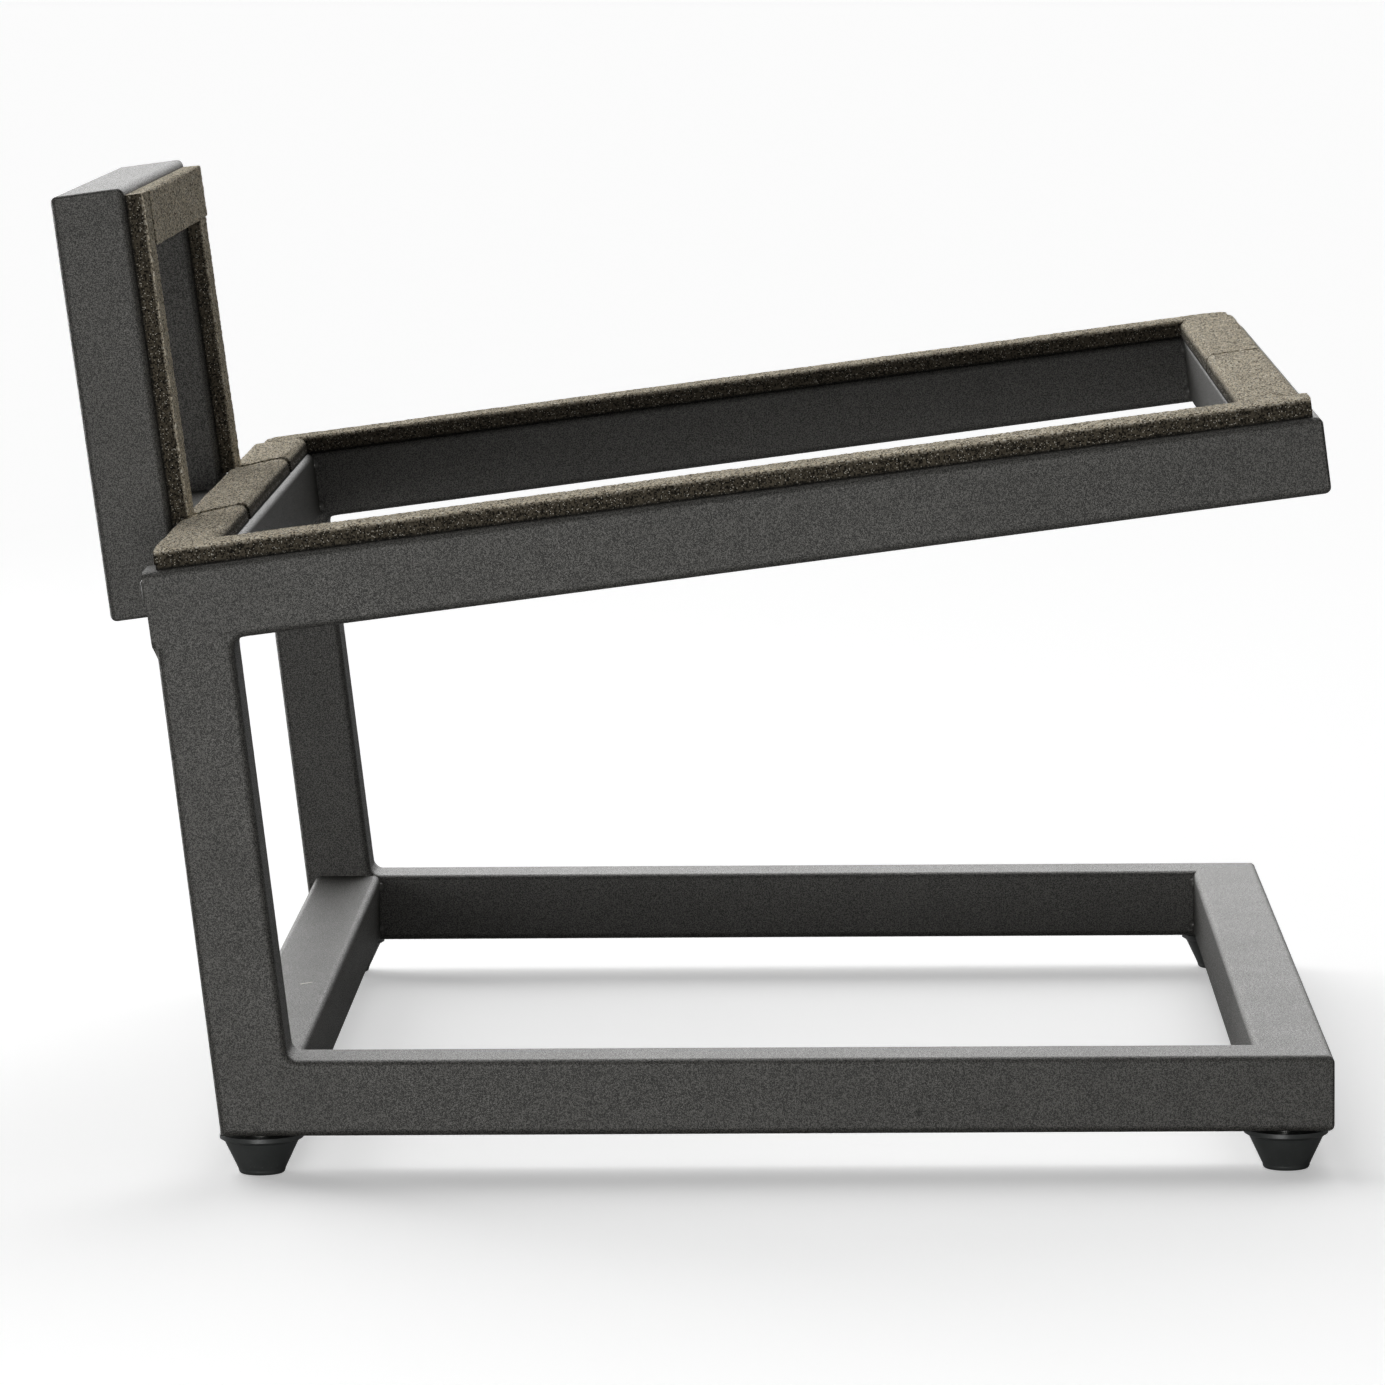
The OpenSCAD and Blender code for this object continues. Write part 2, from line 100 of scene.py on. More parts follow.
# %% Wrap a socket
class Wire:
    """A value that comes out of a node."""

    def __init__(self, web, socket):
        self.web = web
        self.socket = socket

    def _sum(self, operation, *values):
        return self.web.node("ShaderNodeMath", {"operation": operation}, dict(enumerate(values)))

    def __add__(self, other):
        return self._sum("ADD", self, other)

    def __sub__(self, other):
        return self._sum("SUBTRACT", self, other)

    def __rsub__(self, other):
        return self._sum("SUBTRACT", other, self)

    def __mul__(self, other):
        return self._sum("MULTIPLY", self, other)

    def __truediv__(self, other):
        return self._sum("DIVIDE", self, other)

    def __abs__(self):
        return self._sum("ABSOLUTE", self)

    __radd__ = __add__
    __rmul__ = __mul__

    def at_least(self, other):
        return self._sum("MAXIMUM", self, other)

    def at_most(self, other):
        return self._sum("MINIMUM", self, other)

    def root(self):
        return self._sum("SQRT", self)

    def sign(self):
        return self._sum("SIGN", self)


class Web:
    """A tree of nodes that grows by plain calls."""

    def __init__(self, tree):
        self.tree = tree

    def set(self, socket, value):
        """A link or a plain value for one input socket."""
        if isinstance(value, Wire):
            self.tree.links.new(value.socket, socket)
        else:
            socket.default_value = value

    def node(self, kind, settings=None, sockets=None, output=0):
        """Adds a node: its settings first, then its sockets. Gives one output back."""
        node = self.tree.nodes.new(kind)
        for name, value in (settings or {}).items():
            setattr(node, name, value)
        for name, value in (sockets or {}).items():
            self.set(node.inputs[name], value)
        return Wire(self, node.outputs[output])

    def step(self, value, low, high, out_low=0.0, out_high=1.0):
        """A soft step: `value` from low to high gives out_low to out_high."""
        sockets = {"Value": value, "From Min": low, "From Max": high}
        sockets.update({"To Min": out_low, "To Max": out_high})
        settings = {"interpolation_type": "SMOOTHSTEP"}
        return self.node("ShaderNodeMapRange", settings, sockets, "Result")

    def vector_sum(self, operation, *vectors, output="Vector"):
        """A sum on vectors."""
        sockets = dict(enumerate(vectors))
        return self.node("ShaderNodeVectorMath", {"operation": operation}, sockets, output)

    def split(self, vector):
        """The three parts of a vector."""
        kind = "ShaderNodeSeparateXYZ"
        return [self.node(kind, sockets={0: vector}, output=part) for part in range(3)]

    def join(self, x, y, z):
        """A vector from its three parts."""
        return self.node("ShaderNodeCombineXYZ", sockets={0: x, 1: y, 2: z})


# %% [markdown]
# ## What the finishes share
# Every finish starts from the same shader and reads the same coordinates, those of the object
# itself, so its pattern stays put when the object moves. Most need soft noise, cells, a blend
# of two colours and a bump. These are kept in one class, and each finish is then a few lines.


# %% Grow a finish
class Finish(Web):
    """A procedural material."""

    def __init__(self, name):
        self.material = bpy.data.materials.new(name)
        self.material.use_nodes = True
        super().__init__(self.material.node_tree)
        self.shader = self.tree.nodes["Principled BSDF"]
        self.place = self.node("ShaderNodeTexCoord", output="Object")

    def grain(self, size, detail=2.0, roughness=0.5):
        """Soft noise, from 0 to 1, whose bumps are about `size` across."""
        sockets = {"Vector": self.place, "Scale": 1 / size}
        sockets.update({"Detail": detail, "Roughness": roughness})
        return self.node("ShaderNodeTexNoise", sockets=sockets)

    def cells(self, size, feature="F1", output="Distance"):
        """Cells about `size` across."""
        sockets = {"Vector": self.place, "Scale": 1 / size}
        return self.node("ShaderNodeTexVoronoi", {"feature": feature}, sockets, output)

    def mark(self, name):
        """A value that the mesh keeps on its points or faces."""
        return self.node("ShaderNodeAttribute", {"attribute_name": name}, output="Fac")

    def blend(self, share, first, second):
        """A colour between two colours. These are the node's inputs 6 and 7, its output 2."""
        sockets = {"Factor": share, 6: first, 7: second}
        return self.node("ShaderNodeMix", {"data_type": "RGBA"}, sockets, 2)

    def bump(self, height, depth, under=None):
        """Tilts the surface by a height from 0 to 1, `depth` metres deep."""
        sockets = {"Height": height, "Distance": depth, "Strength": 1.0}
        if under:
            sockets["Normal"] = under
        return self.node("ShaderNodeBump", sockets=sockets, output="Normal")

    def near(self, centre, radius):
        """1 at a point of the object, 0 from `radius` on."""
        gap = self.vector_sum("DISTANCE", self.place, centre, output="Value")
        return self.step(gap, 0.0, radius, 1.0, 0.0)

    def stroke(self, start, end, width):
        """1 on a line between two points, 0 beside it and past its ends."""
        way = (Vector(end) - Vector(start)).normalized()
        half = (Vector(end) - Vector(start)).length / 2
        middle = (Vector(start) + Vector(end)) / 2
        offset = self.vector_sum("SUBTRACT", self.place, middle)
        along = self.vector_sum("DOT_PRODUCT", offset, way, output="Value")
        far = self.vector_sum("LENGTH", offset, output="Value")
        across = (far * far - along * along).at_least(0.0).root()
        beside = self.step(across, width * 0.3, width, 1.0, 0.0)
        return beside * self.step(abs(along), half * 0.8, half, 1.0, 0.0)

    def wear(self, **values):
        """Sets sockets of the shader. An underscore in a name stands for a space."""
        for name, value in values.items():
            self.set(self.shader.inputs[name.replace("_", " ")], value)
        return self.material


# %% [markdown]
# ## Powder coat
# The steel wears a dark warm grey powder coat with a fine sand texture. Powder is sprayed dry
# and melted in an oven, so it keeps a pebbled skin over a slow ripple, called orange peel. A
# flat grey would look like plastic. Here two bumps make the two scales, and the tips of the
# pebbles are painted lighter, as painted highlights: small sparks on a darker ground. One
# pinhole, darkened inside as painted shade, and one short scratch sit where the photograph
# shows them.

# %% Choose the coat's colours and sizes
coat_dark = (0.003, 0.003, 0.0025, 1)
# The lighter coat colour is a painted highlight, for the sparks on the pebble tips
coat_spark_highlight = (0.115, 0.112, 0.101, 1)
coat_shine = (1.0, 0.985, 0.955, 1)
coat_highlight_tint = (0.45, 0.44, 0.42, 1)
coat_rough, coat_smooth = 0.62, 0.36
pebble_size = 0.42 * mm
grit_size = 0.24 * mm
peel_size = 4.5 * mm
peel_depth = 0.008 * mm
coat_cloud_size = 26 * mm
pinhole_place = (0.0623, -0.180, 0.0165)
pinhole_reach = 1.6 * mm
pinhole_shade = (0.004, 0.004, 0.004, 1)
scratch_ends = ((-0.1086, -0.0518, 0.031), (-0.1052, -0.0480, 0.031))
scratch_width = 0.28 * mm
scratch_colour = (1.0, 0.95, 0.75, 1)
print("Pebbles:", round(pebble_size / mm, 2), "mm, on a ripple of", round(peel_size / mm, 1), "mm")


# %% Make the powder coat
def powder_coat(name, pebble_depth, gloss=0.0, painted_highlight=0.0):
    finish = Finish(name)
    pebble = finish.grain(pebble_size, detail=2.0, roughness=0.75)
    grit = finish.grain(grit_size, detail=1.0, roughness=0.5)
    peel = finish.grain(peel_size, detail=1.0)
    cloud = finish.grain(coat_cloud_size, detail=3.0, roughness=0.6)
    # Painted highlights: where pebbles and grit stand highest, the colour turns lighter, as sparks
    painted_sparks = finish.step(pebble * 0.5 + grit * 0.5, 0.44, 0.57)
    colour = finish.blend(painted_sparks * (0.75 + cloud * 0.5), coat_dark, coat_spark_highlight)
    # Painted highlight: beads and tacks are made paler all over, the tacks most
    colour = finish.blend(painted_highlight, colour, coat_highlight_tint)
    pinhole = finish.near(pinhole_place, pinhole_reach)
    # Painted shade: the pinhole's dent is darkened almost to black
    colour = finish.blend(pinhole * 0.8, colour, pinhole_shade)
    scratch = finish.stroke(*scratch_ends, scratch_width)
    colour = finish.blend(scratch, colour, scratch_colour)
    patchy = cloud * 0.3 + painted_sparks * 0.7
    skin = finish.bump(peel, peel_depth)
    skin = finish.bump(pebble * 0.6 + grit * 0.4 - pinhole * 0.8, pebble_depth, skin)
    return finish.wear(
        Base_Color=colour,
        Roughness=finish.step(patchy, 0.1, 0.9, coat_rough - gloss, coat_smooth - gloss),
        Normal=skin,
        Specular_IOR_Level=0.9,
        Specular_Tint=coat_shine,
    )


coat = powder_coat("powder_coat", pebble_depth=0.26 * mm)
weld_coat = powder_coat(
    "powder_coat_over_weld", pebble_depth=0.14 * mm, gloss=0.12, painted_highlight=0.05
)
tack_coat = powder_coat(
    "powder_coat_over_tack", pebble_depth=0.05 * mm, gloss=0.3, painted_highlight=0.15
)
print("Coats:", coat.name, weld_coat.name, tack_coat.name)

# %% Coat the steel
steel_parts = ("base_", "upright", "platform_", "backrest_", "rear_end")
steel_nodes = [name for name in nodes if name.startswith(steel_parts)]


def paint(name, material):
    """Gives a CAD node one finish."""
    mesh = nodes[name].data
    mesh.materials.clear()
    mesh.materials.append(material)


def coat_of(name):
    """Thinner, shinier coat on beads, thinnest on tacks; both paler as painted highlight."""
    if name.endswith("tacks"):
        return tack_coat
    return weld_coat if name.endswith(("beads", "stitches")) else coat


for name in steel_nodes:
    paint(name, coat_of(name))
print("Coated:", len(steel_nodes), "nodes")

# %% [markdown]
# ## Rubber and zinc
# The feet are moulded rubber: black, smooth and a little glossy, with a faint bloom of dust.
# Screws, washers and inserts are zinc plated, a bright metal with soft grey clouds.

# %% Make rubber and zinc
rubber_black = (0.036, 0.040, 0.0385, 1)
rubber_dust = (0.20, 0.204, 0.20, 1)
bloom_size = 6 * mm
dust_size = 0.5 * mm
dust_depth = 0.02 * mm
zinc_dark = (0.45, 0.45, 0.43, 1)
zinc_light = (0.70, 0.70, 0.67, 1)
zinc_cloud_size = 2 * mm
zinc_grain_size = 0.15 * mm
zinc_grain_depth = 0.01 * mm


def moulded_rubber():
    finish = Finish("moulded_rubber")
    bloom = finish.grain(bloom_size, detail=4.0, roughness=0.6)
    dust = finish.grain(dust_size, detail=2.0)
    specks = finish.step(dust, 0.64, 0.78)
    return finish.wear(
        Base_Color=finish.blend(specks * 0.35 + bloom * 0.2, rubber_black, rubber_dust),
        Roughness=finish.step(bloom, 0.3, 0.7, 0.28, 0.42),
        Normal=finish.bump(dust, dust_depth),
        Specular_IOR_Level=0.8,
    )


def zinc_plate():
    finish = Finish("zinc_plate")
    cloud = finish.grain(zinc_cloud_size, detail=3.0)
    grain = finish.grain(zinc_grain_size, detail=1.0)
    return finish.wear(
        Base_Color=finish.blend(cloud, zinc_dark, zinc_light),
        Metallic=1.0,
        Roughness=finish.step(cloud, 0.3, 0.7, 0.25, 0.42),
        Normal=finish.bump(grain, zinc_grain_depth),
    )


rubber = moulded_rubber()
zinc = zinc_plate()
feet = [name for name in nodes if name.startswith(("foot_front", "foot_rear"))]
hardware = ("foot_inserts", "foot_washers", "foot_screws")
for name in feet:
    paint(name, rubber)
for name in hardware:
    paint(name, zinc)
print("Rubber:", len(feet), "feet. Zinc:", ", ".join(hardware))

# %% [markdown]
# ## Foam
# The tape is open-cell foam, taupe and matt. Its skin is sliced, so the top shows a fine web of
# cells: the struts get a lit colour and the pores a darker one, as painted shade. The sides are
# cut too. They get a darker copy of the same colours as painted shade, and a strut here and
# there gets a painted glint as a spark. Some small faces of the top get painted glints too. The
# lowest edge is darkened as painted shade where the foam meets the steel. One material does it
# all, and attributes on the mesh tell it where it is: `skin` is 1 on the upper face, another
# mark is 1 on the lowest edge, and `facet` gives each small face a chance value of its own.
# Faces that point up take the top's colours as well.

# %% Make the foam
# The top colours are the lit copy of the foam, the side colours a darker copy as painted shade;
# each pore colour is darker still, as painted shade in the cells
foam_top_pore_shade = (0.110, 0.089, 0.061, 1)
foam_lit_strut = (0.94, 0.835, 0.645, 1)
foam_shaded_side_pore = (0.009, 0.0078, 0.0058, 1)
foam_shaded_side_strut = (0.120, 0.102, 0.074, 1)
foam_contact_shade_colour = (0.012, 0.012, 0.011, 1)
foam_painted_glint = (0.95, 0.90, 0.78, 1)
foam_web_size = 0.62 * mm
foam_grain_size = 0.30 * mm
foam_cloud_size = 14 * mm
foam_relief = 0.22 * mm
spark_size = 0.33 * mm


def painted_foam_sparks(finish):
    """Painted glints: small round spots in one cell out of eight."""
    chance = finish.split(finish.cells(spark_size, output="Color"))[0]
    spot = finish.step(finish.cells(spark_size), 0.30, 0.46, 1.0, 0.0)
    return finish.step(chance, 0.86, 0.90) * spot


def open_cell_foam():
    finish = Finish("open_cell_foam")
    web = finish.cells(foam_web_size, "DISTANCE_TO_EDGE")
    grain = finish.grain(foam_grain_size, detail=2.0, roughness=0.7)
    cloud = finish.grain(foam_cloud_size, detail=3.0)
    # Faces that point up get the lit top colours: painted light, by the way a face turns
    rise = finish.split(finish.node("ShaderNodeNewGeometry", output="Normal"))[2]
    skin = finish.mark("skin").at_least(finish.step(rise, 0.45, 0.85))
    facet = finish.mark("facet")
    strut = finish.step(grain - web * 0.3 + facet * 0.4, 0.45, 0.67)
    # On the top, struts get the lit colour and pores get painted shade
    top = finish.blend(strut * (0.7 + cloud * 0.3), foam_top_pore_shade, foam_lit_strut)
    # Painted glints on some small faces of the top
    top = finish.blend(finish.step(facet, 0.80, 0.96) * 0.9, top, foam_painted_glint)
    # On the sides, a darker copy of the same colours, as painted shade
    side = finish.blend(strut * (0.5 + cloud * 0.5), foam_shaded_side_pore, foam_shaded_side_strut)
    # Painted glints on the sides, as sparks on a strut here and there
    side = finish.blend(painted_foam_sparks(finish) * 0.75, side, foam_painted_glint)
    # Painted shade along the lowest edge, where the foam meets the steel
    side = finish.blend(finish.mark("painted_contact_shade"), side, foam_contact_shade_colour)
    return finish.wear(
        # Lit top and shaded sides, both painted into the colour
        Base_Color=finish.blend(skin, side, top),
        Roughness=0.95,
        Specular_IOR_Level=0.15,
        Normal=finish.bump(strut, foam_relief),
    )


foam = open_cell_foam()
print("Foam:", len(foam.node_tree.nodes), "nodes")

# %% [markdown]
# ## The tape as a rule
# All ten strips of tape follow one rule, so one geometry tree grows them: a block with a fine
# lattice of faces, whose two long upper edges are softened to an arc. The sides waver, as tape
# does that was cut and pressed down by hand. The upper face has shallow dents, and each corner of
# the lattice stands a little in or out, which gives the cut cells. An end can be cut at a slant
# or rounded. The sizes are named inputs of the tree, and a seed makes each strip its own.


# %% Grow a shape
class Shape(Web):
    """A geometry tree with named sizes."""

    def __init__(self, name, sizes):
        super().__init__(bpy.data.node_groups.new(name, "GeometryNodeTree"))
        sockets = self.tree.interface
        sockets.new_socket("Geometry", in_out="OUTPUT", socket_type="NodeSocketGeometry")
        for size in sizes:
            sockets.new_socket(size, in_out="INPUT", socket_type="NodeSocketFloat")
        inlet = self.tree.nodes.new("NodeGroupInput")
        self.sizes = {size: Wire(self, inlet.outputs[size]) for size in sizes}

    def finish(self, geometry, material):
        """Closes the tree: real geometry, and its material."""
        real = self.node("GeometryNodeRealizeInstances", sockets={0: geometry})
        sockets = {"Geometry": real, "Material": material}
        dressed = self.node("GeometryNodeSetMaterial", sockets=sockets)
        outlet = self.tree.nodes.new("NodeGroupOutput")
        self.set(outlet.inputs[0], dressed)
        return self.tree

    def mark(self, geometry, name, value, domain="POINT"):
        """Keeps a value on each point or face, for the material to read."""
        settings = {"data_type": "FLOAT", "domain": domain}
        sockets = {"Geometry": geometry, "Name": name, "Value": value}
        return self.node("GeometryNodeStoreNamedAttribute", settings, sockets)

    def noise(self, vector, size, seed):
        """Noise from -1 to 1."""
        sockets = {"Vector": vector, "W": seed, "Scale": 1 / size, "Detail": 2.0}
        return self.node("ShaderNodeTexNoise", {"noise_dimensions": "4D"}, sockets) * 2.0 - 1.0


def grown_mesh(name, tree, sizes, place):
    """The plain mesh that a tree gives for some sizes, moved to its place."""
    blank = bpy.data.objects.new(name, bpy.data.meshes.new(name))
    collection.objects.link(blank)
    modifier = blank.modifiers.new("shape", "NODES")
    modifier.node_group = tree
    for item in tree.interface.items_tree:
        if item.in_out == "INPUT":
            modifier[item.identifier] = float(sizes[item.name])
    depsgraph = bpy.context.evaluated_depsgraph_get()
    mesh = bpy.data.meshes.new_from_object(
        blank.evaluated_get(depsgraph), preserve_all_data_layers=True, depsgraph=depsgraph
    )
    blank.modifiers.clear()
    blank.data = mesh
    mesh.name = name
    mesh.transform(place)
    return blank


# %% Choose the tape's sizes
foam_grid = 0.45 * mm
cell_relief = 0.13 * mm
waver_size = 22 * mm
ripple_size = 3.5 * mm
ripple_turn = 2 * mm
ripple_share = 0.35
sides_apart = 0.3
dent_size, dent_depth = 2.2 * mm, 0.10 * mm
swell_size, swell_depth = 30 * mm, 0.16 * mm
# Dents and wavers go both ways, so the upper face lies lower and the sides lean in by these
settle = 0.12 * mm
lean_in_share = 0.6
# Nothing is divided by less than these
least_radius, least_reach = 1e-6, 1e-7
tape_sizes = ["Length", "Width", "Thickness", "Soft edge", "Waver", "Seed"]
tape_sizes += ["Start slant", "End slant", "Start round", "End round"]
print("Lattice:", round(foam_grid / mm, 2), "mm, inputs:", ", ".join(tape_sizes))


# %% Write the tape's rule
def tape_block(shape, length, width, thick):
    """A block with a fine lattice of faces, its middle at the origin."""
    sockets = {"Size": shape.join(length, width, thick)}
    for axis, side in zip("XYZ", (length, width, thick)):
        sockets["Vertices " + axis] = side / foam_grid + 1.0
    return shape.node("GeometryNodeMeshCube", sockets=sockets)


def rounded_off(y, width, radius):
    """How far a strip's end steps back at its outer corner, which is rounded in plan."""
    over = (y - width * 0.5 + radius) / radius.at_least(least_radius)
    over = over.at_least(0.0).at_most(1.0)
    return radius * (1.0 - (1.0 - over * over).root())


def end_shift(size, y, end):
    """How far the slant of an end moves a point along the strip, and its rounded corner."""
    slanted = size[end + " slant"] * (y / size["Width"])
    return slanted, rounded_off(y, size["Width"], size[end + " round"])


def side_sway(shape, x, side, depth):
    """How far a side of the tape stands out along its length, most at the top."""
    # Each noise adds a number of its own to the strip's seed
    size = shape.sizes
    edge = side.sign() * sides_apart
    waver = shape.noise(shape.join(x, edge, 0.0), waver_size, size["Seed"])
    point = shape.join(x, edge, depth * ripple_turn)
    ripple = shape.noise(point, ripple_size, size["Seed"] + 7.0)
    return (waver + ripple * ripple_share - lean_in_share) * size["Waver"] * depth


def top_dents(shape, x, y):
    """Small dents and a slow swell of the upper face."""
    seed = shape.sizes["Seed"]
    dents = shape.noise(shape.join(x, y, 0.0), dent_size, seed + 3.0) * dent_depth
    swell = shape.noise(shape.join(x, y, 0.0), swell_size, seed + 5.0) * swell_depth
    return dents + swell - settle


def foam_tape_tree():
    shape = Shape("foam_tape", tape_sizes)
    size = shape.sizes
    length, width, thick, soft = [size[name] for name in tape_sizes[:4]]
    x, y, z = shape.split(shape.node("GeometryNodeInputPosition"))
    x = x + length * 0.5
    z = z + thick * 0.5
    along, depth, side = x / length, z / thick, y / (width * 0.5)
    # The soft edges turn round a core, and nothing stands farther from it than their radius
    core_y = y.at_least(soft - width * 0.5).at_most(width * 0.5 - soft)
    core_z = z.at_most(thick - soft)
    out_y, out_z = y - core_y, z - core_z
    reach = (out_y * out_y + out_z * out_z).root().at_least(least_reach)
    pull = (soft / reach).at_most(1.0)
    # Each corner of the lattice stands in or out by chance
    sockets = {"Vector": shape.join(x, y, z), "W": size["Seed"]}
    tip = shape.node("ShaderNodeTexWhiteNoise", {"noise_dimensions": "4D"}, sockets)
    relief = (tip - 0.5) * (2 * cell_relief) * depth.at_most(1.0)
    start_slant, start_round = end_shift(size, y, "Start")
    end_slant, end_round = end_shift(size, y, "End")
    new_x = x + (start_slant + start_round) * (1.0 - along) + (end_slant - end_round) * along
    new_y = core_y + out_y * pull + side * side_sway(shape, x, side, depth)
    new_y = new_y + out_y / reach * relief
    new_z = core_z + out_z * pull + top_dents(shape, x, y) * depth + out_z / reach * relief
    # Marks for the foam's material: `skin` picks the lit top colours, and the lowest edge gets a
    # mark for painted shade
    upper = shape.step(depth, 0.94 - soft * 0.9 / thick, 0.98)
    block = shape.mark(tape_block(shape, length, width, thick), "skin", upper)
    block = shape.mark(block, "facet", tip, "FACE")
    # The lowest edge is marked for painted shade
    block = shape.mark(block, "painted_contact_shade", shape.step(depth, 0.04, 0.15, 1.0, 0.0))
    sockets = {"Geometry": block, "Position": shape.join(new_x, new_y, new_z)}
    moved = shape.node("GeometryNodeSetPosition", sockets=sockets)
    sockets = {"Geometry": moved, "Shade Smooth": False}
    return shape.finish(shape.node("GeometryNodeSetShadeSmooth", sockets=sockets), foam)


tape_tree = foam_tape_tree()
print("Tape tree:", len(tape_tree.nodes), "nodes")

# %% [markdown]
# ## Laying the tape
# A strip lies where its CAD block lies. The block's corners are read in the platform's own
# tilted frame, whose tilt is the direction of the record's mount for the speaker. Tape on the
# platform looks up along that frame's Z, tape on the backrest looks forward along its X. The
# two strips on the posts run a millimetre into the rear foam, which looks pressed together.

# %% Find the platform's frame
mounts = {mount["name"]: mount for mount in frame["record"]["mounts"]}
seat_axis = mounts["speaker_seat"]["axis"]
tilt = math.atan2(-seat_axis[0], seat_axis[2])
to_platform = Matrix.Rotation(tilt, 3, "Y")
from_platform = to_platform.inverted()
print("Platform tilt:", round(math.degrees(tilt), 2), "degrees")


def box_of(places):
    """Lowest and highest corner of some points."""
    low = Vector([min(place[axis] for place in places) for axis in range(3)])
    high = Vector([max(place[axis] for place in places) for axis in range(3)])
    return low, high


def platform_box(name):
    """Lowest and highest corner of a node in the platform's frame."""
    return box_of([to_platform @ vertex.co for vertex in nodes[name].data.vertices])


# %% Describe the strips
# A strip grows along +X with its top up. Each of these turns it to its place in that frame
along_x = Matrix(((1, 0, 0), (0, 1, 0), (0, 0, 1)))
along_y = Matrix(((0, -1, 0), (1, 0, 0), (0, 0, 1)))
up_the_back = Matrix(((0, 0, 1), (0, -1, 0), (1, 0, 0)))
across_the_back = Matrix(((0, 0, 1), (1, 0, 0), (0, 1, 0)))
strip_values = "turn start_gap end_gap start_slant end_slant start_round end_round"
Strip = namedtuple("Strip", strip_values + " waver soft_edge thick")
# All but the direction and the last value, a share of the block's thickness, are in millimetres.
# A gap is left at the end of a strip. With a minus sign the strip is longer instead, and runs
# into the next one
strips = {
    "seat_foam_left": Strip(along_x, 2.0, 3.2, 0, 0, 6, 9, 0.45, 1.0, 1.04),
    "seat_foam_right": Strip(along_x, 0, 0, 0, 0, 0, 0, 0.35, 1.1, 1.04),
    "seat_foam_front_left": Strip(along_y, 1.5, 0, 0, 0, 0, 0, 0.5, 2.6, 1.04),
    "seat_foam_front_right": Strip(along_y, 0, 1.5, 0, 0, 0, 0, 0.4, 2.6, 1.04),
    "seat_foam_rear_left": Strip(along_y, 3.0, 0, -20, 0, 5, 0, 0.5, 2.2, 1.02),
    "seat_foam_rear_middle": Strip(along_y, 3.0, 3.0, -20, -20, 5, 0, 0.5, 2.2, 1.02),
    "seat_foam_rear_right": Strip(along_y, 0, 3.0, 0, -20, 0, 0, 0.5, 2.2, 1.02),
    "back_foam_left": Strip(up_the_back, -1.4, -0.4, 0, 0, 0, 0, 0.35, 0.5, 0.93),
    "back_foam_right": Strip(up_the_back, -1.4, 0, 0, 0, 0, 0, 0.35, 0.5, 1.02),
    "back_foam_top": Strip(across_the_back, 3.5, 0, 0, 0, 0, 0, 0.4, 0.5, 1.03),
}
seed_step = 11.0
print("Strips:", len(strips))


# %% Lay the tape
def lay_tape(name, seed):
    strip = strips[name]
    least, most = box_of([strip.turn.transposed() @ corner for corner in platform_box(name)])
    # A slanted end takes half its slant from the middle line
    start = least.x + (abs(strip.start_slant) / 2 + strip.start_gap) * mm
    end = most.x - (abs(strip.end_slant) / 2 + strip.end_gap) * mm
    sizes = {
        "Length": end - start,
        "Width": most.y - least.y,
        "Thickness": (most.z - least.z) * strip.thick,
        "Soft edge": strip.soft_edge * mm,
        "Start slant": strip.start_slant * mm,
        "End slant": strip.end_slant * mm,
        "Start round": strip.start_round * mm,
        "End round": strip.end_round * mm,
        "Waver": strip.waver * mm,
        "Seed": seed * seed_step,
    }
    begin = Vector((start, (least.y + most.y) / 2, least.z))
    place = from_platform.to_4x4() @ strip.turn.to_4x4() @ Matrix.Translation(begin)
    tape = grown_mesh(name + "_tape", tape_tree, sizes, place)
    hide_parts(name)
    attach(tape, "root")
    print(tape.name, len(tape.data.polygons), "faces", round(sizes["Length"] / mm, 1), "mm long")


for seed, name in enumerate(strips):
    lay_tape(name, seed)

# %% [markdown]
# ## Welds that flow
# The fillet welds inside a side frame do not stop at the flat of the tube. They were ground and
# coated so that the tube's rounded edge runs on round the corner, as one soft dark band. The
# CAD fillet is a plain wedge. Here the tube's rounded section is swept round the corner, a hair
# proud of the steel in the middle, and sinks into it a little way along both tubes.

# %% Find the corners of a side frame
tube = 20 * mm
edge_radius = 2 * mm
weld_radius = 3 * mm
lean = math.radians(6.5)
up_the_upright = Vector((-math.sin(lean), 0, math.cos(lean)))
out_of_upright = Vector((math.cos(lean), 0, math.sin(lean)))
up = Vector((0, 0, 1))
forward = Vector((1, 0, 0))
along_platform = from_platform @ forward
out_of_underside = from_platform @ -up


def level(name, direction):
    """How far a node reaches in a direction."""
    return max(direction.dot(vertex.co) for vertex in nodes[name].data.vertices)


def corner_centre(first, first_level, second, second_level):
    """The point of the side view at two given levels, which is a weld arc's centre."""
    cross = first.x * second.z - first.z * second.x
    x = (first_level * second.z - second_level * first.z) / cross
    z = (first.x * second_level - second.x * first_level) / cross
    return Vector((x, 0, z))


upright_front = level("upright_right", out_of_upright) + weld_radius
rail_top = level("base_rail_right", up) + weld_radius
rail_underside = level("platform_rail_right", out_of_underside) + weld_radius
lower_corner = corner_centre(out_of_upright, upright_front, up, rail_top)
upper_corner = corner_centre(out_of_upright, upright_front, out_of_underside, rail_underside)
print("Lower corner:", [round(v, 4) for v in lower_corner])
print("Upper corner:", [round(v, 4) for v in upper_corner])

# %% Choose the weld's sizes
proud_mm = 0.03
# The back of the weld lies at least this far from the arc's centre, inside both tubes
least_back = 5.2 * mm
back_bevel = 0.3 * mm
edge_steps = 8
arc_steps = 24
ripple_height = 0.06 * mm
ripples_across, ripples_deep = 900, 400
print("Weld: radius", round(weld_radius / mm, 1), "mm,", proud_mm, "mm proud")


